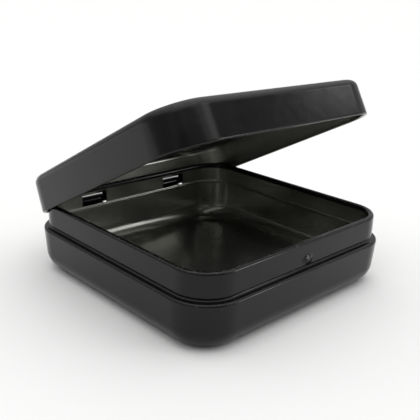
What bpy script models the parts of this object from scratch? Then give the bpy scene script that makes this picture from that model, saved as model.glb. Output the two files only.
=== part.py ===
"""Small square hinged tin box: a drawn sheet-metal tray and slip lid on two wire-pin hinges.

Frame: metres, +Z up. The origin is the centre of the flat underside. The latch side is -Y,
the hinge side is +Y, and +X is to the right when the latch side faces the viewer.
The lid stands open at REST_OPEN_DEG.
"""
import bpy
import bmesh
from math import cos, sin, pi, radians, sqrt
from mathutils import Vector

MM = 0.001

# ---- sheet ----------------------------------------------------------------
SHEET = 0.25 * MM                 # tinplate thickness
CORNER_R = 9.3 * MM               # vertical corner radius at the shoulder

# ---- tray -----------------------------------------------------------------
SHOULDER_HALF = 31.0 * MM         # half width at the shoulder, the widest line
BOTTOM_HALF = 30.6 * MM           # half width where the bottom radius meets the wall
BOTTOM_R = 4.8 * MM               # bottom edge radius
SHOULDER_Z = 10.8 * MM            # top of the shoulder
SHOULDER_R = 0.6 * MM             # rounding of the shoulder
NECK_HALF = 29.8 * MM             # half width of the neck that the lid slips over
NECK_FILLET = 0.50 * MM           # bend between shoulder and neck
RIM_Z = 16.8 * MM                 # top of the tray
RIM_R = 0.7 * MM                  # outer radius of the inward rim curl
RIM_SWEEP = 285.0                 # how far round the curl is closed, degrees

# ---- lid (dimensions in the closed position) -------------------------------
LID_HALF = 31.1 * MM              # half width at the lower edge
LID_TOP_HALF = 30.87 * MM         # half width under the top radius
LID_CORNER_R = 9.6 * MM
LID_LOW_Z = 11.05 * MM            # lower edge, 0.25 mm above the shoulder
LID_TOP_Z = 19.8 * MM             # top face
LID_TOP_R = 1.9 * MM              # top edge radius
HEM_R = 0.4 * MM                  # outer radius of the inward edge roll
HEM_SWEEP = 250.0

# ---- hinge ----------------------------------------------------------------
AXIS_Y = 31.9 * MM
AXIS_Z = 12.2 * MM
REST_OPEN_DEG = 27.4              # lid opening as modelled
HINGE_X = 13.2 * MM               # each hinge's centre, left and right
WINDOW_W = 7.4 * MM
WINDOW_LOW_Z = 11.2 * MM
WINDOW_TOP_Z = 15.0 * MM
HOOK_W = 6.6 * MM                 # tray hook, bent out of the window
HOOK_R = 1.05 * MM                # mid-sheet radius of the hook
HOOK_SWEEP = 285.0
SLOT_W = 7.3 * MM                 # slot in the lid's skirt round the hook
SLOT_TOP_Z = 13.7 * MM
KNUCKLE_W = 2.8 * MM              # each lid knuckle
KNUCKLE_R = 0.97 * MM             # mid-sheet radius of a knuckle
KNUCKLE_SWEEP = 305.0
KNUCKLE_SHEET = 0.30 * MM
RELIEF = 0.3 * MM                 # relief cut between a knuckle and the edge roll
PIN_R = 0.5 * MM
PIN_LEN = 12.7 * MM

# ---- snap bump --------------------------------------------------------------
BUMP_Z = 12.6 * MM
BUMP_R = 1.1 * MM
BUMP_PROUD = 0.2 * MM

CORNER_SEGS = 9


def clear_scene():
    for ob in list(bpy.data.objects):
        bpy.data.objects.remove(ob, do_unlink=True)


def material(name, rgb, rough, metal):
    m = bpy.data.materials.new(name)
    m.use_nodes = True
    b = m.node_tree.nodes["Principled BSDF"]
    b.inputs["Base Color"].default_value = (*rgb, 1.0)
    b.inputs["Roughness"].default_value = rough
    b.inputs["Metallic"].default_value = metal
    m.diffuse_color = (*rgb, 1.0)
    return m


def rounded_square(half, radius):
    """Points of a square outline with round corners, counter-clockwise seen from above."""
    pts = []
    c = half - radius
    for k, (sx, sy) in enumerate(((1, -1), (1, 1), (-1, 1), (-1, -1))):
        a0 = -pi / 2 + k * pi / 2
        for i in range(CORNER_SEGS + 1):
            a = a0 + (pi / 2) * i / CORNER_SEGS
            pts.append((sx * c + radius * cos(a), sy * c + radius * sin(a)))
    return pts


def arc(cy, cz, r, a0, a1, n):
    """Points (half width, z) along an arc, angles in degrees, both ends included."""
    return [(cy + r * cos(radians(a0 + (a1 - a0) * i / n)),
             cz + r * sin(radians(a0 + (a1 - a0) * i / n))) for i in range(n + 1)]


def mesh_object(name, bm, mat, sharp=35.0):
    bmesh.ops.recalc_face_normals(bm, faces=bm.faces[:])
    me = bpy.data.meshes.new(name)
    bm.to_mesh(me)
    bm.free()
    me.shade_smooth()
    me.set_sharp_from_angle(angle=radians(sharp))
    ob = bpy.data.objects.new(name, me)
    bpy.context.scene.collection.objects.link(ob)
    if mat:
        me.materials.append(mat)
    return ob


def swept_shell(name, profile, ref_half, ref_radius, mat):
    """A pressed sheet shell: the closed section, from the outer middle round to the inner middle,
    carried round the rounded square, and the two flat panels filled."""
    bm = bmesh.new()
    rings = []
    for half, z in profile:
        r = ref_radius - (ref_half - half)
        rings.append([bm.verts.new((x, y, z)) for x, y in rounded_square(half, r)])
    n = len(rings[0])
    for a, b in zip(rings, rings[1:]):
        for i in range(n):
            j = (i + 1) % n
            bm.faces.new((a[i], a[j], b[j], b[i]))
    bm.faces.new(rings[0])
    bm.faces.new(list(reversed(rings[-1])))
    return mesh_object(name, bm, mat)


def strip(name, path, thick, x0, x1, mat=None):
    """A bent strip of sheet: a mid-line in the YZ plane, thickened and extruded along X."""
    left, right = [], []
    for i, p in enumerate(path):
        a = Vector(path[max(i - 1, 0)])
        b = Vector(path[min(i + 1, len(path) - 1)])
        d = (b - a).normalized()
        nrm = Vector((-d.y, d.x)) * thick / 2
        left.append(Vector(p) + nrm)
        right.append(Vector(p) - nrm)
    bm = bmesh.new()
    cols = []
    for x in (x0, x1):
        cols.append(([bm.verts.new((x, q.x, q.y)) for q in left],
                     [bm.verts.new((x, q.x, q.y)) for q in right]))
    (l0, r0), (l1, r1) = cols
    for i in range(len(path) - 1):
        bm.faces.new((l0[i], l0[i + 1], l1[i + 1], l1[i]))
        bm.faces.new((r0[i + 1], r0[i], r1[i], r1[i + 1]))
        bm.faces.new((l0[i + 1], l0[i], r0[i], r0[i + 1]))
        bm.faces.new((l1[i], l1[i + 1], r1[i + 1], r1[i]))
    bm.faces.new((l0[0], l1[0], r1[0], r0[0]))
    bm.faces.new((l1[-1], l0[-1], r0[-1], r1[-1]))
    return mesh_object(name, bm, mat)


def block(name, lo, hi):
    bm = bmesh.new()
    bmesh.ops.create_cube(bm, size=1.0)
    for v in bm.verts:
        v.co = Vector([lo[k] + (v.co[k] + 0.5) * (hi[k] - lo[k]) for k in range(3)])
    return mesh_object(name, bm, None)


def dome(name, centre, radius, height, sink, out):
    """A shallow round dome on a flat base; out is -1 or +1 along Y."""
    sph = (radius ** 2 + height ** 2) / (2 * height)
    bm = bmesh.new()
    rings = []
    n = 16
    for k in range(4):
        r = radius * (1 - k / 4)
        y = sqrt(sph ** 2 - r ** 2) - (sph - height)
        rings.append([bm.verts.new((centre[0] + r * cos(2 * pi * i / n), centre[1] + out * y,
                                    centre[2] + r * sin(2 * pi * i / n))) for i in range(n)])
    tip = bm.verts.new((centre[0], centre[1] + out * height, centre[2]))
    foot = [bm.verts.new((centre[0] + radius * cos(2 * pi * i / n), centre[1] - out * sink,
                          centre[2] + radius * sin(2 * pi * i / n))) for i in range(n)]
    for a, b in zip([foot] + rings[:-1], rings):
        for i in range(n):
            j = (i + 1) % n
            bm.faces.new((a[i], a[j], b[j], b[i]))
    for i in range(n):
        bm.faces.new((rings[-1][i], rings[-1][(i + 1) % n], tip))
    bm.faces.new(foot)
    return mesh_object(name, bm, None)


def as_tool(ob):
    ob.hide_render = True
    ob.display_type = 'WIRE'
    return ob


def boolean(ob, tool, operation):
    m = ob.modifiers.new(tool.name, 'BOOLEAN')
    m.operation = operation
    m.solver = 'EXACT'
    m.object = as_tool(tool)
    return m


# ---------------------------------------------------------------------------
def tray_profile():
    t = SHEET
    wall_z = SHOULDER_Z - SHOULDER_R
    cb = BOTTOM_HALF - BOTTOM_R
    p = arc(cb, BOTTOM_R, BOTTOM_R, -90, 0, 6)
    p += arc(SHOULDER_HALF - SHOULDER_R, wall_z, SHOULDER_R, 0, 90, 4)
    p += arc(NECK_HALF + NECK_FILLET, SHOULDER_Z + NECK_FILLET, NECK_FILLET, -90, -180, 4)
    rc, rz = NECK_HALF - RIM_R, RIM_Z - RIM_R
    p += arc(rc, rz, RIM_R, 0, RIM_SWEEP, 11)
    p += arc(rc, rz, RIM_R - t, RIM_SWEEP, 0, 8)
    p += arc(NECK_HALF + NECK_FILLET, SHOULDER_Z + NECK_FILLET, NECK_FILLET + t, -180, -90, 4)
    p += arc(SHOULDER_HALF - SHOULDER_R, wall_z, SHOULDER_R - t, 90, 0, 3)
    p += arc(cb, BOTTOM_R, BOTTOM_R - t, 0, -90, 5)
    return p


def lid_profile():
    """Section in the closed position, z measured from the hinge axis."""
    t = SHEET
    top = LID_TOP_Z - AXIS_Z
    hem_c, hem_z = LID_HALF - HEM_R, LID_LOW_Z + HEM_R - AXIS_Z
    ct = LID_TOP_HALF - LID_TOP_R
    p = arc(ct, top - LID_TOP_R, LID_TOP_R, 90, 0, 5)
    p += arc(hem_c, hem_z, HEM_R, 0, -HEM_SWEEP, 8)
    p += arc(hem_c, hem_z, HEM_R - t, -HEM_SWEEP, 0, 5)
    p += arc(ct, top - LID_TOP_R, LID_TOP_R - t, 0, 90, 4)
    return p


def build_tray(mat):
    tray = swept_shell("base_tray", tray_profile(), SHOULDER_HALF, CORNER_R, mat)
    for side, sx in (("left", -1), ("right", 1)):
        cx = sx * HINGE_X
        win = block(f"window_cut_{side}", (cx - WINDOW_W / 2, NECK_HALF - 0.8 * MM, WINDOW_LOW_Z),
                    (cx + WINDOW_W / 2, NECK_HALF + 0.8 * MM, WINDOW_TOP_Z))
        boolean(tray, win, 'DIFFERENCE')
    for side, sx in (("left", -1), ("right", 1)):
        cx = sx * HINGE_X
        run_z = AXIS_Z - HOOK_R
        path = [(NECK_HALF - 0.12 * MM, run_z), (NECK_HALF + 0.9 * MM, run_z)]
        path += arc(AXIS_Y, AXIS_Z, HOOK_R, -90, -90 + HOOK_SWEEP, 14)
        hook = strip(f"hook_{side}", path, SHEET, cx - HOOK_W / 2, cx + HOOK_W / 2)
        boolean(tray, hook, 'UNION')
    root = 0.03 * MM              # the bump's foot lies this far inside the sheet's face
    bump = dome("snap_bump", (0, -NECK_HALF + root, BUMP_Z), BUMP_R, BUMP_PROUD + root,
                SHEET * 0.4, -1)
    boolean(tray, bump, 'UNION')
    return tray


def build_lid(mat):
    axis = bpy.data.objects.new("lid_axis", None)
    bpy.context.scene.collection.objects.link(axis)
    axis.location = (0, AXIS_Y, AXIS_Z)
    axis.rotation_euler = (-radians(REST_OPEN_DEG), 0, 0)

    lid = swept_shell("lid_shell", lid_profile(), LID_HALF, LID_CORNER_R, mat)
    # the shell was swept about the box's centre: carry it onto the hinge axis
    for v in lid.data.vertices:
        v.co.y -= AXIS_Y
    tools = []
    for side, sx in (("left", -1), ("right", 1)):
        cx = sx * HINGE_X
        outer = SLOT_W / 2 + KNUCKLE_W + RELIEF
        y0 = LID_HALF - 1.2 * MM - AXIS_Y
        y1 = LID_HALF + 0.4 * MM - AXIS_Y
        low = LID_LOW_Z - 0.5 * MM - AXIS_Z
        hem_cut = block(f"edge_roll_cut_{side}", (cx - outer, y0, low), (cx + outer, y1, 0.0))
        slot = block(f"slot_cut_{side}", (cx - SLOT_W / 2, y0, low),
                     (cx + SLOT_W / 2, y1, SLOT_TOP_Z - AXIS_Z))
        boolean(lid, hem_cut, 'DIFFERENCE')
        boolean(lid, slot, 'DIFFERENCE')
        tools += [hem_cut, slot]
        path = [(-KNUCKLE_R, 0.5 * MM)]
        path += arc(0, 0, KNUCKLE_R, 180, 180 + KNUCKLE_SWEEP, 15)
        for end, ex in (("a", -1), ("b", 1)):
            kx = cx + ex * (SLOT_W + KNUCKLE_W) / 2
            kn = strip(f"knuckle_{side}_{end}", path, KNUCKLE_SHEET,
                       kx - KNUCKLE_W / 2, kx + KNUCKLE_W / 2)
            boolean(lid, kn, 'UNION')
            tools.append(kn)
    for ob in [lid] + tools:
        ob.parent = axis
    return lid


def build_pin(side, sx, mat):
    """A short wire pin with rounded ends, turned about the hinge axis."""
    bm = bmesh.new()
    n = 16
    h = PIN_LEN / 2
    prof = [(-h, PIN_R * 0.55), (-h + 0.12 * MM, PIN_R * 0.88), (-h + 0.3 * MM, PIN_R),
            (h - 0.3 * MM, PIN_R), (h - 0.12 * MM, PIN_R * 0.88), (h, PIN_R * 0.55)]
    rings = [[bm.verts.new((x, r * cos(2 * pi * i / n), r * sin(2 * pi * i / n)))
              for i in range(n)] for x, r in prof]
    for a, b in zip(rings, rings[1:]):
        for i in range(n):
            j = (i + 1) % n
            bm.faces.new((a[i], a[j], b[j], b[i]))
    bm.faces.new(rings[0])
    bm.faces.new(list(reversed(rings[-1])))
    ob = mesh_object(f"hinge_pin_{side}", bm, mat, 50.0)
    ob.location = (sx * HINGE_X, AXIS_Y, AXIS_Z)
    return ob


def main():
    clear_scene()
    black_tray = material("tray_black_lacquer", (0.030, 0.030, 0.031), 0.34, 0.0)
    black_lid = material("lid_black_lacquer", (0.034, 0.034, 0.035), 0.38, 0.0)
    steel = material("bright_steel_wire", (0.56, 0.56, 0.55), 0.30, 1.0)
    build_tray(black_tray)
    build_lid(black_lid)
    build_pin("left", -1, steel)
    build_pin("right", 1, steel)


main()
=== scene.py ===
"""Looks for the small hinged black tin box: fine sheet-metal shells, lacquer, wire pins, studio."""
import bmesh
import bpy
import numpy as np
from math import sin, cos, tan, pi, radians, sqrt, atan2, hypot
from mathutils import Vector, Matrix


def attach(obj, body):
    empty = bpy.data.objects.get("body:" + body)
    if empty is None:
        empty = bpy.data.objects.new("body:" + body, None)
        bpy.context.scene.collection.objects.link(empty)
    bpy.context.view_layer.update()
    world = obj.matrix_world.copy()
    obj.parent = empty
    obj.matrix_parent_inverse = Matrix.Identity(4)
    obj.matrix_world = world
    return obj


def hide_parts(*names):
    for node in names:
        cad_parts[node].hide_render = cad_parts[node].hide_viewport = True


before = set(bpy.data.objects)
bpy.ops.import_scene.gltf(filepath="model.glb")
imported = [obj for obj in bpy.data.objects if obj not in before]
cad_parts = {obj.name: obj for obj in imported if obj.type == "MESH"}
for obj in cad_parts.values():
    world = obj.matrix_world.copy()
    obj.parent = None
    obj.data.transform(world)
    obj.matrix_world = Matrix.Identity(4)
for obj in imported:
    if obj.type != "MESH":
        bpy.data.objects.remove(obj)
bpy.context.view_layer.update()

MM = 0.001

# ---------------------------------------------------------------- dimensions (mm), as in the CAD
SHEET = 0.25
CORNER_R = 9.3
SHOULDER_HALF, BOTTOM_HALF, BOTTOM_R = 31.0, 30.6, 4.8
SHOULDER_Z, SHOULDER_R = 10.8, 0.6
NECK_HALF = 29.8
RIM_Z, RIM_R = 16.8, 0.7
LID_HALF, LID_TOP_HALF, LID_CORNER_R = 31.1, 30.87, 9.6
LID_LOW_Z, LID_TOP_Z, LID_TOP_R, HEM_R = 11.05, 19.8, 1.9, 0.4
AXIS_Y, AXIS_Z = 31.9, 12.2
OPEN_DEG = 27.4
HINGE_X, WINDOW_W, WIN_LOW, WIN_TOP = 13.2, 7.4, 11.6, 15.0
HOOK_W, HOOK_R = 7.2, 1.05
SLOT_W, SLOT_TOP = 7.3, 13.35
KNUCKLE_W, KNUCKLE_R = 2.8, 0.97
RELIEF = 0.3
PIN_R, PIN_LEN = 0.5, 12.7
BUMP_Z, BUMP_R, BUMP_H = 12.85, 1.2, 0.40
# rolled groove at the foot of the neck, outer and inner face of the sheet: (half width, z)
GROOVE_OUT = [(30.12, 10.81), (29.96, 10.84), (29.82, 10.89), (29.68, 10.97), (29.59, 11.08), (29.56, 11.20),
              (29.60, 11.32), (29.70, 11.43), (29.77, 11.52), (29.80, 11.60)]
GROOVE_IN = [(29.55, 11.60), (29.52, 11.52), (29.45, 11.43), (29.35, 11.32), (29.31, 11.20), (29.34, 11.08),
             (29.41, 10.93), (29.52, 10.78), (29.69, 10.66), (29.90, 10.59), (30.15, 10.56)]

CORNER_SEGS = 26


# ---------------------------------------------------------------- geometry helpers
def arc(cy, cz, r, a0, a1, n):
    return [(cy + r * cos(radians(a0 + (a1 - a0) * i / n)),
             cz + r * sin(radians(a0 + (a1 - a0) * i / n))) for i in range(n + 1)]


def densify(profile, near=0.12, long=2.4):
    """Adds support points close to the ends of the long straight runs, and splits the longest."""
    out = [profile[0]]
    for a, b in zip(profile, profile[1:]):
        d = hypot(b[0] - a[0], b[1] - a[1])
        if d > 6 * near:
            cuts = [near / d]
            n = max(1, int(d / long))
            cuts += [(k / n) for k in range(1, n) if near / d < k / n < 1 - near / d]
            cuts += [1 - near / d]
            for t in cuts:
                out.append((a[0] + (b[0] - a[0]) * t, a[1] + (b[1] - a[1]) * t))
        out.append(b)
    return out


def outline(half, radius, rear_x=(), front_x=()):
    """Rounded square, counter-clockwise; each straight side has the same support points.
    rear_x and front_x add points at those x on the rear (+Y) and front (-Y) sides."""
    c = half - radius
    pts = []
    sides = [0.985, 0.8, 0.6, 0.4, 0.2, 0.0, -0.2, -0.4, -0.6, -0.8, -0.985]
    flat = SHOULDER_HALF - CORNER_R
    for k in range(4):
        a0 = -pi / 2 + k * pi / 2
        sx, sy = ((1, -1), (1, 1), (-1, 1), (-1, -1))[k]
        for i in range(CORNER_SEGS + 1):
            a = a0 + (pi / 2) * i / CORNER_SEGS
            pts.append((sx * c + radius * cos(a), sy * c + radius * sin(a)))
        run = [f * flat for f in sides]
        if k == 1:                                  # the rear side, from +x to -x
            run = sorted(set([r for r in run if min([abs(r - x) for x in rear_x] or [9]) > 0.35]
                             + list(rear_x)), reverse=True)
            run = [r for r in run if abs(r) < c]
        if k == 3:                                  # the front side, from -x to +x
            run = sorted(set([r for r in run if min([abs(r - x) for x in front_x] or [9]) > 0.35]
                             + list(front_x)), reverse=True)
        for r in run:
            r = max(-c, min(c, r))
            if k == 0: pts.append((half, -r))
            if k == 1: pts.append((r, half))
            if k == 2: pts.append((-half, r))
            if k == 3: pts.append((-r, -half))
    return pts


def tray_profile():
    t = SHEET
    cb = BOTTOM_HALF - BOTTOM_R
    wall = SHOULDER_Z - SHOULDER_R
    outer = arc(cb, BOTTOM_R, BOTTOM_R, -90, 0, 14)
    outer += arc(SHOULDER_HALF - SHOULDER_R, wall, SHOULDER_R, 0, 90, 9)
    rc, rz = NECK_HALF - RIM_R, RIM_Z - RIM_R
    outer += GROOVE_OUT
    curl = arc(rc, rz, RIM_R, 0, 285, 34)
    back = arc(rc, rz, RIM_R - t, 285, 0, 24)
    inner = list(GROOVE_IN)
    inner += arc(SHOULDER_HALF - SHOULDER_R, wall, SHOULDER_R - t, 90, 0, 6)
    inner += arc(cb, BOTTOM_R, BOTTOM_R - t, 0, -90, 14)
    return outer, curl, back, inner


def lid_profile():
    t = SHEET
    top = LID_TOP_Z
    hc, hz = LID_HALF - HEM_R, LID_LOW_Z + HEM_R
    ct = LID_TOP_HALF - LID_TOP_R
    outer = arc(ct, top - LID_TOP_R, LID_TOP_R, 90, 0, 12)
    curl = arc(hc, hz, HEM_R, 0, -250, 24)
    back = arc(hc, hz, HEM_R - t, -250, 0, 16)
    inner = arc(ct, top - LID_TOP_R, LID_TOP_R - t, 0, 90, 11)
    return outer, curl, back, inner


def add_levels(profile, levels):
    """Puts points at the given z on the near-vertical runs of a profile, both ways round."""
    out = [profile[0]]
    for a, b in zip(profile, profile[1:]):
        hits = []
        for z in levels:
            if (a[1] - z) * (b[1] - z) < -1e-9 and abs(b[1] - a[1]) > 0.25:
                t = (z - a[1]) / (b[1] - a[1])
                hits.append((t, (a[0] + (b[0] - a[0]) * t, z)))
        out += [p for t, p in sorted(hits)]
        out.append(b)
    return out


class Shell:
    """A pressed shell as rings of vertices, so that cut-outs can be made on the grid."""

    def __init__(self, profile, ref_half, ref_radius, rear_x, split, front_x=()):
        self.bm = bmesh.new()
        self.prof = profile
        self.split = split                 # index in the profile where the inner face starts
        self.rings = []
        for half, z in profile:
            r = max(ref_radius - (ref_half - half), 0.5)
            self.rings.append([self.bm.verts.new((x * MM, y * MM, z * MM))
                               for x, y in outline(half, r, rear_x, front_x)])
        self.xy = outline(ref_half, ref_radius, rear_x, front_x)
        self.n = len(self.rings[0])
        self.faces = {}
        for k in range(len(self.rings) - 1):
            a, b = self.rings[k], self.rings[k + 1]
            for i in range(self.n):
                j = (i + 1) % self.n
                f = self.bm.faces.new((a[i], a[j], b[j], b[i]))
                f.material_index = 1 if k >= split else 0
                f.smooth = True
                self.faces[(k, i)] = f

    def cap(self, ring, flip, z0, sag, mat):
        """Fills a flat panel with a grid of rings that shrink towards the middle, slightly crowned."""
        base = self.rings[ring]
        prev = base
        steps = [0.985, 0.93, 0.85, 0.74, 0.61, 0.47, 0.33, 0.19, 0.07]
        for s in steps:
            cur = []
            for v in base:
                x, y = v.co.x * s, v.co.y * s
                # crown: zero and flat at the edge
                q = (1 - s * s) ** 2
                cur.append(self.bm.verts.new((x, y, v.co.z + sag * q * MM)))
            for i in range(self.n):
                j = (i + 1) % self.n
                q = (prev[i], prev[j], cur[j], cur[i]) if flip else (prev[j], prev[i], cur[i], cur[j])
                f = self.bm.faces.new(q)
                f.material_index = mat
                f.smooth = True
            prev = cur
        f = self.bm.faces.new(prev if flip else list(reversed(prev)))
        f.material_index = mat
        f.smooth = True

    def find_rings(self, z, inner):
        ks = [k for k, (h, zz) in enumerate(self.prof) if abs(zz - z) < 1e-6
              and (k > self.split) == inner and h > NECK_HALF - 2.0]
        return ks

    def columns(self, x0, x1):
        """Perimeter indices i of the rear side whose span i -> i+1 lies in [x0, x1]."""
        out = []
        for i in range(self.n):
            a, b = self.xy[i], self.xy[(i + 1) % self.n]
            if a[1] > 20 and b[1] > 20 and x0 - 1e-6 <= min(a[0], b[0]) and max(a[0], b[0]) <= x1 + 1e-6:
                out.append(i)
        return out


def cut_window(sh, ko, ki, cols, mat):
    """Removes the outer faces between ring spans ko and the inner ones ki over the columns, and closes
    the cut sheet edge. ko and ki are (low ring, high ring) in profile order."""
    o0, o1 = ko
    i0, i1 = ki
    doomed = [sh.faces.pop((k, c)) for c in cols for k in range(min(o0, o1), max(o0, o1))]
    doomed += [sh.faces.pop((k, c)) for c in cols for k in range(min(i0, i1), max(i0, i1))]
    bmesh.ops.delete(sh.bm, geom=doomed, context='FACES')
    made = []
    R = sh.rings
    lo, hi = min(o0, o1), max(o0, o1)
    li, hi_i = min(i0, i1), max(i0, i1)
    first, last = cols[0], (cols[-1] + 1) % sh.n
    # the outer run goes up as the index grows, the inner run goes down
    outer = list(range(lo, hi + 1))
    inner = list(range(li, hi_i + 1))[::-1]
    z = lambda k: sh.prof[k][1]
    inner.sort(key=z)
    outer.sort(key=z)
    assert len(inner) == len(outer), (len(inner), len(outer))
    for c in (first, last):
        for a in range(len(outer) - 1):
            made.append(sh.bm.faces.new((R[outer[a]][c], R[outer[a + 1]][c],
                                         R[inner[a + 1]][c], R[inner[a]][c])))
    for a in (0, len(outer) - 1):
        for c in cols:
            d = (c + 1) % sh.n
            made.append(sh.bm.faces.new((R[outer[a]][c], R[outer[a]][d], R[inner[a]][d], R[inner[a]][c])))
    for f in made:
        f.material_index = mat
        f.smooth = False
    return made


def finish_mesh(name, bm, mats, sharp=40.0):
    loose = [v for v in bm.verts if not v.link_faces]
    bmesh.ops.delete(bm, geom=loose, context='VERTS')
    bmesh.ops.recalc_face_normals(bm, faces=bm.faces[:])
    me = bpy.data.meshes.new(name)
    bm.to_mesh(me)
    bm.free()
    me.set_sharp_from_angle(angle=radians(sharp))
    for m in mats:
        me.materials.append(m)
    ob = bpy.data.objects.new(name, me)
    bpy.context.scene.collection.objects.link(ob)
    return ob


def strip(name, path, thick, x0, x1, mats, bevel=0.05, cols=6, wave=None):
    """A bent strip of sheet with softened edges: section outline in YZ, extruded along X."""
    left, right = [], []
    for i, p in enumerate(path):
        a = Vector(path[max(i - 1, 0)])
        b = Vector(path[min(i + 1, len(path) - 1)])
        d = (b - a).normalized()
        nrm = Vector((-d.y, d.x)) * thick / 2
        left.append(Vector(p) + nrm)
        right.append(Vector(p) - nrm)
    xs = [x0, x0 + bevel] + [x0 + (x1 - x0) * k / cols for k in range(1, cols)] + [x1 - bevel, x1]
    bm = bmesh.new()
    L, R = [], []
    for x in xs:
        edge = x in (x0, x1)
        k = 1.0 - (2 * bevel / thick if edge else 0.0)
        row_l, row_r = [], []
        for l, r in zip(left, right):
            m = (l + r) / 2
            row_l.append(bm.verts.new((x * MM, (m.x + (l.x - m.x) * k) * MM, (m.y + (l.y - m.y) * k) * MM)))
            row_r.append(bm.verts.new((x * MM, (m.x + (r.x - m.x) * k) * MM, (m.y + (r.y - m.y) * k) * MM)))
        L.append(row_l)
        R.append(row_r)
    n = len(path)
    for a in range(len(xs) - 1):
        for i in range(n - 1):
            bm.faces.new((L[a][i], L[a][i + 1], L[a + 1][i + 1], L[a + 1][i]))
            bm.faces.new((R[a][i + 1], R[a][i], R[a + 1][i], R[a + 1][i + 1]))
        bm.faces.new((L[a][0], L[a + 1][0], R[a + 1][0], R[a][0])).material_index = 1
        bm.faces.new((L[a + 1][-1], L[a][-1], R[a][-1], R[a + 1][-1])).material_index = 1
    for i in range(n - 1):
        bm.faces.new((L[0][i + 1], L[0][i], R[0][i], R[0][i + 1])).material_index = 1
        bm.faces.new((L[-1][i], L[-1][i + 1], R[-1][i + 1], R[-1][i])).material_index = 1
    for f in bm.faces:
        f.smooth = True
    return finish_mesh(name, bm, mats, 50.0)


# ---------------------------------------------------------------- materials
def new_mat(name):
    m = bpy.data.materials.new(name)
    m.use_nodes = True
    nt = m.node_tree
    b = nt.nodes["Principled BSDF"]
    return m, nt, b


def noise(nt, co, scale, detail=4.0, rough=0.5, dist=0.0):
    n = nt.nodes.new("ShaderNodeTexNoise")
    n.inputs["Scale"].default_value = scale
    n.inputs["Detail"].default_value = detail
    n.inputs["Roughness"].default_value = rough
    n.inputs["Distortion"].default_value = dist
    nt.links.new(co, n.inputs["Vector"])
    return n.outputs["Fac"]


def ramp(nt, fac, stops):
    r = nt.nodes.new("ShaderNodeValToRGB")
    e = r.color_ramp.elements
    while len(e) > 1:
        e.remove(e[-1])
    e[0].position, e[0].color = stops[0][0], (*stops[0][1], 1)
    for p, c in stops[1:]:
        k = e.new(p)
        k.color = (*c, 1)
    nt.links.new(fac, r.inputs["Fac"])
    return r.outputs["Color"]


def remap(nt, fac, a, b, c, d):
    r = nt.nodes.new("ShaderNodeMapRange")
    r.inputs["From Min"].default_value = a
    r.inputs["From Max"].default_value = b
    r.inputs["To Min"].default_value = c
    r.inputs["To Max"].default_value = d
    nt.links.new(fac, r.inputs["Value"])
    return r.outputs["Result"]


def mix_rgb(nt, fac, a, b):
    m = nt.nodes.new("ShaderNodeMix")
    m.data_type = 'RGBA'
    for s, v in ((0, fac), (6, a), (7, b)):
        if isinstance(v, (int, float)):
            m.inputs[s].default_value = v
        elif isinstance(v, tuple):
            m.inputs[s].default_value = (*v, 1)
        else:
            nt.links.new(v, m.inputs[s])
    return m.outputs[2]


def mix_val(nt, fac, a, b):
    m = nt.nodes.new("ShaderNodeMix")
    for s, v in ((0, fac), (2, a), (3, b)):
        if isinstance(v, (int, float)):
            m.inputs[s].default_value = v
        else:
            nt.links.new(v, m.inputs[s])
    return m.outputs[0]


def coords(nt):
    return nt.nodes.new("ShaderNodeTexCoord").outputs["Object"]


def bump(nt, height, strength, distance, normal=None):
    b = nt.nodes.new("ShaderNodeBump")
    b.inputs["Strength"].default_value = strength
    b.inputs["Distance"].default_value = distance
    nt.links.new(height, b.inputs["Height"])
    if normal is not None:
        nt.links.new(normal, b.inputs["Normal"])
    return b.outputs["Normal"]


def lacquer_out(name, dark, light, rough_lo, rough_hi):
    """Black lacquer on tinplate: orange peel, slow waviness of the pressed sheet, rubbed edges, dust, and a
    painted highlight on the snap bump's crest where the wear attribute is high.
    """
    m, nt, b = new_mat(name)
    co = coords(nt)
    big = noise(nt, co, 55, 3)
    mid = noise(nt, co, 900, 5, 0.6)
    fine = noise(nt, co, 5200, 3, 0.6)
    col = ramp(nt, big, [(0.30, dark), (0.70, light)])
    speck = remap(nt, mid, 0.35, 0.75, 0.0, 1.0)
    col = mix_rgb(nt, 0.22, col, ramp(nt, speck, [(0.2, tuple(c * 0.6 for c in dark)),
                                                 (0.9, tuple(c * 1.8 for c in light))]))
    wear_and_glint = nt.nodes.new("ShaderNodeAttribute")
    wear_and_glint.attribute_name = "wear_and_glint"
    wn = noise(nt, co, 1400, 6, 0.7)
    wear_and_glint_mask = nt.nodes.new("ShaderNodeMath")
    wear_and_glint_mask.operation = 'MULTIPLY'
    nt.links.new(wear_and_glint.outputs["Fac"], wear_and_glint_mask.inputs[0])
    nt.links.new(remap(nt, wn, 0.52, 0.76, 0.0, 0.7), wear_and_glint_mask.inputs[1])
    # pale grey for rubbed edges; on the snap bump's crest the same mix is a painted highlight
    col = mix_rgb(nt, wear_and_glint_mask.outputs[0], col, (0.17, 0.17, 0.165))
    nt.links.new(col, b.inputs["Base Color"])
    rr = remap(nt, noise(nt, co, 240, 5, 0.6), 0.3, 0.7, rough_lo, rough_hi)
    nt.links.new(rr, b.inputs["Roughness"])
    b.inputs["IOR"].default_value = 1.33
    n1 = bump(nt, fine, 0.35, 0.000006)
    n2 = bump(nt, noise(nt, co, 75, 3), 0.6, 0.00017, n1)
    nt.links.new(n2, b.inputs["Normal"])
    return m


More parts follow.
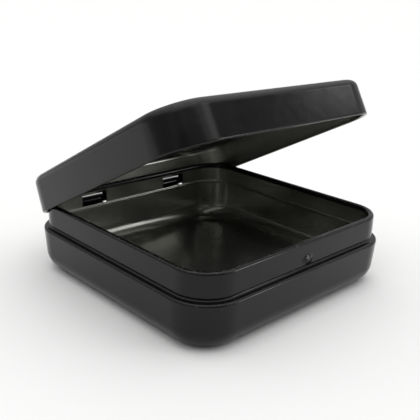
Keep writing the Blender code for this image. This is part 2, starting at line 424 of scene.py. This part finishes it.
def lacquer_in(name, dark, light, rough_lo, rough_hi):
    """Thin dark lacquer over bright tinplate inside: the metal shows through as a dark, warm mirror."""
    m, nt, b = new_mat(name)
    co = coords(nt)
    big = noise(nt, co, 38, 3)
    col = ramp(nt, big, [(0.3, dark), (0.7, light)])
    dust = nt.nodes.new("ShaderNodeTexVoronoi")
    dust.inputs["Scale"].default_value = 420
    nt.links.new(co, dust.inputs["Vector"])
    dm = remap(nt, dust.outputs["Distance"], 0.05, 0.09, 1.0, 0.0)
    keep = remap(nt, noise(nt, co, 160, 2), 0.60, 0.64, 0.0, 1.0)
    mul = nt.nodes.new("ShaderNodeMath")
    mul.operation = 'MULTIPLY'
    nt.links.new(dm, mul.inputs[0])
    nt.links.new(keep, mul.inputs[1])
    col = mix_rgb(nt, mul.outputs[0], col, (0.30, 0.30, 0.28))
    nt.links.new(col, b.inputs["Base Color"])
    b.inputs["Metallic"].default_value = 0.9
    rr = remap(nt, noise(nt, co, 130, 5, 0.6), 0.3, 0.7, rough_lo, rough_hi)
    nt.links.new(rr, b.inputs["Roughness"])
    n1 = bump(nt, noise(nt, co, 2600, 3), 0.18, 0.00001)
    n2 = bump(nt, noise(nt, co, 60, 2), 0.5, 0.00016, n1)
    nt.links.new(n2, b.inputs["Normal"])
    return m


def bare_steel(name, tone, scale=(1, 1, 1)):
    """Bare tinplate at a sheared edge, or drawn wire: grey metal with fine lines and dull spots."""
    m, nt, b = new_mat(name)
    co = coords(nt)
    mp = nt.nodes.new("ShaderNodeMapping")
    mp.inputs["Scale"].default_value = scale
    nt.links.new(co, mp.inputs["Vector"])
    lines = noise(nt, mp.outputs["Vector"], 3000, 4, 0.6)
    spots = noise(nt, co, 700, 4)
    col = ramp(nt, spots, [(0.3, tuple(c * 0.55 for c in tone)), (0.7, tone)])
    nt.links.new(col, b.inputs["Base Color"])
    b.inputs["Metallic"].default_value = 1.0
    nt.links.new(remap(nt, lines, 0.3, 0.7, 0.25, 0.42), b.inputs["Roughness"])
    nt.links.new(bump(nt, lines, 0.3, 0.00001), b.inputs["Normal"])
    return m


MAT_TRAY = lacquer_out("tray_satin_black", (0.0034, 0.0034, 0.0034), (0.0052, 0.0052, 0.0051), 0.13, 0.19)
MAT_LID = lacquer_out("lid_satin_black", (0.0034, 0.0034, 0.0034), (0.0052, 0.0052, 0.0051), 0.13, 0.19)
MAT_IN = lacquer_in("gloss_black_inside", (0.330, 0.330, 0.305), (0.380, 0.380, 0.352), 0.16, 0.26)
MAT_EDGE = bare_steel("sheared_tinplate_edge", (0.16, 0.16, 0.155))
MAT_WIRE = bare_steel("drawn_steel_wire", (0.30, 0.30, 0.29), (0.04, 1.0, 1.0))


# ---------------------------------------------------------------- tray
def wear_and_glint_attribute(ob, fn):
    me = ob.data
    att = me.attributes.new("wear_and_glint", 'FLOAT', 'POINT')
    vals = np.empty(len(me.vertices), dtype=np.float32)
    for i, v in enumerate(me.vertices):
        vals[i] = fn(v.co / MM)
    att.data.foreach_set("value", vals)


def build_tray():
    outer, curl, back, inner = tray_profile()
    levels = [WIN_LOW, WIN_TOP, 12.2, 12.4, 12.6, 12.75, 12.9, 13.05, 13.2, 13.4, 13.6, 13.8, 14.2]
    a = add_levels(densify(outer + [curl[0]])[:-1] + [curl[0]], levels)
    full = a[:-1] + curl
    split_at = len(full) - 1                      # the cut end of the rim curl
    b = add_levels(densify([back[-1]] + inner), levels)
    full = full + back[:-1] + b
    # the gloss inside starts at the innermost side of the curl
    rear = []
    for s in (-1, 1):
        rear += [s * (HINGE_X - WINDOW_W / 2), s * (HINGE_X + WINDOW_W / 2), s * HINGE_X]
    front = [k * 0.2 for k in range(-10, 11)]
    sh = Shell(full, SHOULDER_HALF, CORNER_R, rear, split_at, front)
    # the rim curl is black like the outside; the inside finish starts on the wall below it
    below = split_at + len(back) - 1
    for (k, i), f in sh.faces.items():
        f.material_index = 1 if k >= below else 0
    sh.cap(0, True, 0, 0.0, 0)
    sh.cap(len(full) - 1, False, 0, 0.03, 1)
    zo = {}
    for k, (h, z) in enumerate(full):
        if abs(z - WIN_LOW) < 1e-6 or abs(z - WIN_TOP) < 1e-6:
            side = 'o' if k < split_at else 'i'
            if (side == 'o' and h > NECK_HALF - 0.05) or (side == 'i' and NECK_HALF - SHEET - 0.05 < h < NECK_HALF - 0.05):
                zo[(side, round(z, 2))] = k
    for s in (-1, 1):
        cols = sh.columns(s * HINGE_X - WINDOW_W / 2, s * HINGE_X + WINDOW_W / 2)
        cut_window(sh, (zo[('o', WIN_LOW)], zo[('o', WIN_TOP)]),
                   (zo[('i', WIN_LOW)], zo[('i', WIN_TOP)]), cols, 0)
    # snap bump, pressed from inside: both faces of the neck move out together
    for v in sh.bm.verts:
        y, x, z = v.co.y / MM, v.co.x / MM, v.co.z / MM
        if y < -29.0 and 11.6 < z < 15.2:
            d = hypot(x / 1.5, z - BUMP_Z) / BUMP_R
            if d < 1:
                v.co.y -= BUMP_H * (cos(d * pi / 2) ** 1.2) * MM
    ob = finish_mesh("tray_body", sh.bm, [MAT_TRAY, MAT_IN, MAT_EDGE], 40)

    def wear_and_glint_value(p):
        w = 0.0
        if p.z > RIM_Z - 0.55: w = max(w, min(1, (p.z - RIM_Z + 0.55) / 0.5) * 0.55)
        half = max(abs(p.x), abs(p.y))
        if abs(p.z - (SHOULDER_Z - 0.35)) < 0.5 and half > 20: w = max(w, 0.35 * (1 - abs(p.z - SHOULDER_Z + 0.35) / 0.5))
        if p.z < 0.5: w = max(w, 0.3)
        if p.y < -29.9 and abs(p.x) < 0.7 and abs(p.z - BUMP_Z - 0.3) < 0.35: w = 4.0     # painted highlight: the bump's crest is pushed to pale grey to stand in for a glint
        return w
    wear_and_glint_attribute(ob, wear_and_glint_value)
    return ob


def build_hooks():
    made = []
    for side, s in (("left", -1), ("right", 1)):
        cx = s * HINGE_X
        run_z = AXIS_Z - HOOK_R
        path = [(NECK_HALF - 0.12, run_z + 0.0), (NECK_HALF + 0.3, run_z), (NECK_HALF + 0.9, run_z),
                (NECK_HALF + 1.5, run_z)]
        path += arc(AXIS_Y, AXIS_Z, HOOK_R, -90, 195, 44)
        made.append(strip(f"tray_hook_{side}", path, SHEET, cx - HOOK_W / 2, cx + HOOK_W / 2,
                          [MAT_TRAY, MAT_EDGE]))
    return made


def lid_matrix():
    return (Matrix.Translation((0, AXIS_Y * MM, AXIS_Z * MM))
            @ Matrix.Rotation(-radians(OPEN_DEG), 4, 'X')
            @ Matrix.Translation((0, -AXIS_Y * MM, -AXIS_Z * MM)))


def build_lid():
    outer, curl, back, inner = lid_profile()
    levels = [AXIS_Z, SLOT_TOP, 12.9]
    a = add_levels(densify(outer + [curl[0]]), levels)
    full = a[:-1] + curl
    split_at = len(full) - 1
    b = add_levels(densify([back[-1]] + inner), levels)
    full = full + back[:-1] + b
    rear = []
    o = SLOT_W / 2 + KNUCKLE_W + RELIEF
    for s in (-1, 1):
        cx = s * HINGE_X
        rear += [cx - o, cx - SLOT_W / 2 - KNUCKLE_W, cx - SLOT_W / 2, cx, cx + SLOT_W / 2,
                 cx + SLOT_W / 2 + KNUCKLE_W, cx + o]
    sh = Shell(full, LID_HALF, LID_CORNER_R, rear, split_at)
    low = min(range(len(full)), key=lambda k: full[k][1])
    for (k, i), f in sh.faces.items():
        f.material_index = 1 if k >= low + 2 else 0
    sh.cap(0, False, 0, 0.10, 0)
    sh.cap(len(full) - 1, True, 0, 0.10, 1)
    R = sh.rings
    ko = {}
    for k, (h, z) in enumerate(full):
        for lv in (AXIS_Z, SLOT_TOP):
            if abs(z - lv) < 1e-6 and h > LID_HALF - SHEET - 0.12:
                ko[('o' if k < split_at else 'i', lv)] = k
    for s in (-1, 1):
        cx = s * HINGE_X
        # edge roll and skirt below the axis come away over the whole hinge; the slot goes higher
        slot = set(sh.columns(cx - SLOT_W / 2, cx + SLOT_W / 2))
        whole = sh.columns(cx - o, cx + o)
        cut = {}
        for c in whole:
            z_up = SLOT_TOP if c in slot else AXIS_Z
            cut[c] = (ko[('o', z_up)], ko[('i', z_up)])
        doomed = [sh.faces.pop((k, c)) for c in whole for k in range(cut[c][0], cut[c][1])]
        bmesh.ops.delete(sh.bm, geom=doomed, context='FACES')
        made = []
        for c in whole:
            d = (c + 1) % sh.n
            ka, kb = cut[c]
            made.append(sh.bm.faces.new((R[ka][c], R[ka][d], R[kb][d], R[kb][c])))
        # side walls of the slot between the two levels
        oo = list(range(ko[('o', SLOT_TOP)], ko[('o', AXIS_Z)] + 1))
        ii = list(range(ko[('i', AXIS_Z)], ko[('i', SLOT_TOP)] + 1))[::-1]
        assert len(oo) == len(ii), (len(oo), len(ii))
        sc = sorted(slot, key=whole.index)
        for c in (sc[0], (sc[-1] + 1) % sh.n):
            for q in range(len(oo) - 1):
                made.append(sh.bm.faces.new((R[oo[q]][c], R[oo[q + 1]][c], R[ii[q + 1]][c], R[ii[q]][c])))
        # the cut ends of the edge roll: the section of the sheet, filled strip by strip
        for c in (whole[0], (whole[-1] + 1) % sh.n):
            ka, kb = ko[('o', AXIS_Z)], ko[('i', AXIS_Z)]
            i, j = ka, kb
            while j - i > 1:
                # advance the side whose next rung is shorter
                li = (R[i + 1][c].co - R[j][c].co).length if i + 1 < j else 9
                lj = (R[i][c].co - R[j - 1][c].co).length if j - 1 > i else 9
                if li <= lj:
                    if i + 1 == j: break
                    made.append(sh.bm.faces.new((R[i][c], R[i + 1][c], R[j][c])))
                    i += 1
                else:
                    made.append(sh.bm.faces.new((R[i][c], R[j - 1][c], R[j][c])))
                    j -= 1
        for f in made:
            f.material_index = 2
            f.smooth = False
    ob = finish_mesh("lid_body", sh.bm, [MAT_LID, MAT_IN, MAT_EDGE], 40)

    def wear_and_glint_value(p):
        w = 0.0
        if p.z < LID_LOW_Z + 0.5: w = max(w, 0.5 * (1 - (p.z - LID_LOW_Z) / 0.5))
        if p.z > LID_TOP_Z - 1.4 and p.z < LID_TOP_Z - 0.2: w = max(w, 0.22)
        return w
    wear_and_glint_attribute(ob, wear_and_glint_value)
    ob.data.transform(lid_matrix())
    return ob


def build_knuckles():
    made = []
    for side, s in (("left", -1), ("right", 1)):
        cx = s * HINGE_X
        path = [(-KNUCKLE_R, 0.6), (-KNUCKLE_R, 0.3)] + arc(0, 0, KNUCKLE_R, 180, 485, 46)
        path = [(y + AXIS_Y, z + AXIS_Z) for y, z in path]
        for end, e in (("a", -1), ("b", 1)):
            kx = cx + e * (SLOT_W + KNUCKLE_W) / 2
            ob = strip(f"lid_knuckle_{side}_{end}", path, 0.27, kx - KNUCKLE_W / 2, kx + KNUCKLE_W / 2,
                       [MAT_LID, MAT_EDGE], cols=4)
            ob.data.transform(lid_matrix())
            made.append(ob)
    return made


def build_pin(side, s):
    """Drawn wire, turned: rounded ends and a flat cropped face."""
    bm = bmesh.new()
    n = 32
    h = PIN_LEN / 2
    prof = [(-h, 0.0), (-h, PIN_R * 0.35), (-h + 0.015, PIN_R * 0.62), (-h + 0.07, PIN_R * 0.83),
            (-h + 0.17, PIN_R * 0.955), (-h + 0.3, PIN_R)]
    prof += [(x, PIN_R) for x in np.linspace(-h + 0.6, h - 0.6, 14)]
    prof += [(-x, r) for x, r in reversed(prof[:6])]
    rings = []
    for x, r in prof:
        if r == 0:
            rings.append([bm.verts.new((x * MM, 0, 0))])
        else:
            rings.append([bm.verts.new((x * MM, r * cos(2 * pi * i / n) * MM, r * sin(2 * pi * i / n) * MM))
                          for i in range(n)])
    for a, b in zip(rings, rings[1:]):
        for i in range(n):
            j = (i + 1) % n
            if len(a) == 1: bm.faces.new((a[0], b[j], b[i]))
            elif len(b) == 1: bm.faces.new((a[i], a[j], b[0]))
            else: bm.faces.new((a[i], a[j], b[j], b[i]))
    for f in bm.faces:
        f.smooth = True
    for v in bm.verts:
        v.co += Vector((s * HINGE_X, AXIS_Y, AXIS_Z)) * MM
    return finish_mesh(f"pin_wire_{side}", bm, [MAT_WIRE], 60)


tray = build_tray()
hooks = build_hooks()
lid = build_lid()
knuckles = build_knuckles()
pins = [build_pin("left", -1), build_pin("right", 1)]

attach(tray, "tray")
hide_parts("base_tray")
for h in hooks:
    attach(h, "tray")
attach(lid, "lid")
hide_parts("lid_shell")
for k in knuckles:
    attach(k, "lid")
for p, side in zip(pins, ("left", "right")):
    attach(p, "tray")
    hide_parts(f"hinge_pin_{side}")


# ---------------------------------------------------------------- studio
def stage_floor():
    """One pale level sheet, wide enough that its far edge stays above the frame."""
    bm = bmesh.new()
    rows = []
    steps = [0.0, 0.05, 0.12, 0.3, 0.8, 2.0, 5.0, 9.0]
    n = 48
    centre = bm.verts.new((0, 0, -0.00003))
    for r in steps[1:]:
        rows.append([bm.verts.new((r * cos(2 * pi * i / n), r * sin(2 * pi * i / n), -0.00003)) for i in range(n)])
    for i in range(n):
        bm.faces.new((centre, rows[0][i], rows[0][(i + 1) % n]))
    for a, b in zip(rows, rows[1:]):
        for i in range(n):
            j = (i + 1) % n
            bm.faces.new((a[i], b[i], b[j], a[j]))
    me = bpy.data.meshes.new("studio_table")
    bm.to_mesh(me)
    bm.free()
    ob = bpy.data.objects.new("studio_table", me)
    bpy.context.scene.collection.objects.link(ob)
    m, nt, b = new_mat("pale_paper")
    b.inputs["Base Color"].default_value = (0.850, 0.850, 0.845, 1)
    b.inputs["Roughness"].default_value = 0.9
    b.inputs["Specular IOR Level"].default_value = 0.1
    me.materials.append(m)
    return ob


def area(name, loc, target, size, power, colour=(1, 1, 1), size_y=None, spread=pi):
    l = bpy.data.lights.new(name, 'AREA')
    l.shape = 'RECTANGLE'
    l.size = size
    l.size_y = size_y or size
    l.energy = power
    l.color = colour
    l.spread = spread
    ob = bpy.data.objects.new(name, l)
    ob.location = loc
    d = Vector(target) - Vector(loc)
    ob.rotation_euler = d.to_track_quat('-Z', 'Y').to_euler()
    bpy.context.scene.collection.objects.link(ob)
    return ob


stage_floor()

def heading(az, el):
    """Unit vector; az is measured from the front (-Y) towards +X."""
    a, e = radians(az), radians(el)
    return Vector((sin(a) * cos(e), -cos(a) * cos(e), sin(e)))


# light tent: dimmer at the horizon than overhead, open (dark) on the photographer's side
TENT = [(-0.02, 0.46), (0.26, 0.50), (0.42, 0.62), (0.57, 0.92), (0.71, 1.22), (0.87, 1.72), (1.0, 2.05)]
LOBES = [  # az, el, inner cone, outer cone (degrees), gain: 1 + gain at the centre
    (-82, 12, 10, 38, -0.36),
    (-46, 19, 9, 22, -0.85),
    (-16, 14, 12, 36, -0.74),
    (-22, 38, 8, 22, -0.30),
    (0, 29, 5, 14, -0.80),
    (43, 16, 6, 16, 1.20),
    (40, 38, 4, 16, 0.90),
    (54, 29, 3, 11, -0.70),
    (65, 26, 1.5, 5.5, 3.60),
]


def studio_world():
    world = bpy.data.worlds.new("studio_world")
    bpy.context.scene.world = world
    world.use_nodes = True
    nt = world.node_tree
    bg = nt.nodes["Background"]
    dirn = nt.nodes.new("ShaderNodeTexCoord").outputs["Generated"]
    sep = nt.nodes.new("ShaderNodeSeparateXYZ")
    nt.links.new(dirn, sep.inputs[0])
    fc = nt.nodes.new("ShaderNodeFloatCurve")
    cm = fc.mapping.curves[0]
    top = max(v for z, v in TENT)
    pts = [((z + 1) / 2, v / top) for z, v in TENT]
    cm.points[0].location = (0.0, pts[0][1])
    cm.points[1].location = (1.0, pts[-1][1])
    for q in pts[:-1]:
        cm.points.new(*q)
    fc.mapping.update()
    nt.links.new(remap(nt, sep.outputs["Z"], -1, 1, 0, 1), fc.inputs["Value"])
    val = fc.outputs["Value"]
    for az, el, inner, outer, gain in LOBES:
        dot = nt.nodes.new("ShaderNodeVectorMath")
        dot.operation = 'DOT_PRODUCT'
        nt.links.new(dirn, dot.inputs[0])
        dot.inputs[1].default_value = heading(az, el)
        r = nt.nodes.new("ShaderNodeMapRange")
        r.interpolation_type = 'SMOOTHERSTEP'
        r.inputs["From Min"].default_value = cos(radians(outer))
        r.inputs["From Max"].default_value = cos(radians(inner))
        r.inputs["To Min"].default_value = 1.0
        r.inputs["To Max"].default_value = 1.0 + gain
        nt.links.new(dot.outputs["Value"], r.inputs["Value"])
        mu = nt.nodes.new("ShaderNodeMath")
        mu.operation = 'MULTIPLY'
        nt.links.new(val, mu.inputs[0])
        nt.links.new(r.outputs["Result"], mu.inputs[1])
        val = mu.outputs[0]
    sc = nt.nodes.new("ShaderNodeMath")
    sc.operation = 'MULTIPLY'
    sc.inputs[1].default_value = top
    nt.links.new(val, sc.inputs[0])
    nt.links.new(sc.outputs[0], bg.inputs["Strength"])
    bg.inputs["Color"].default_value = (1, 1, 1, 1)


studio_world()

# a narrow softbox low at the front right: the bright lines along the inner folds
area("strip_soft", heading(41, 12) * 0.7, (0, 0, 0.01), 0.035, 0.30, size_y=0.20)

# camera
cam_data = bpy.data.cameras.new("camera")
cam_data.sensor_width = 36.0
cam_data.sensor_fit = 'HORIZONTAL'
cam_data.lens = 637.283 / 420 * 36.0
cam_data.clip_start = 0.005
cam_data.clip_end = 20
cam = bpy.data.objects.new("camera", cam_data)
bpy.context.scene.collection.objects.link(cam)
bpy.context.scene.camera = cam


def aim(az, el, roll, dist, look):
    a, e, r = radians(az), radians(el), radians(roll)
    back = Vector((sin(a) * cos(e), -cos(a) * cos(e), sin(e)))
    xc = Vector((0, 0, 1)).cross(back).normalized()
    yc = back.cross(xc)
    xr = xc * cos(r) + yc * sin(r)
    yr = -xc * sin(r) + yc * cos(r)
    m = Matrix((xr, yr, back)).transposed().to_4x4()
    m.translation = Vector(look) * MM + back * dist * MM
    cam.matrix_world = m


aim(-43.991, 19.306, 2.013, 148.212, (-3.086, -3.041, 16.936))

bpy.context.scene.view_settings.view_transform = 'Standard'
bpy.context.scene.view_settings.look = 'None'
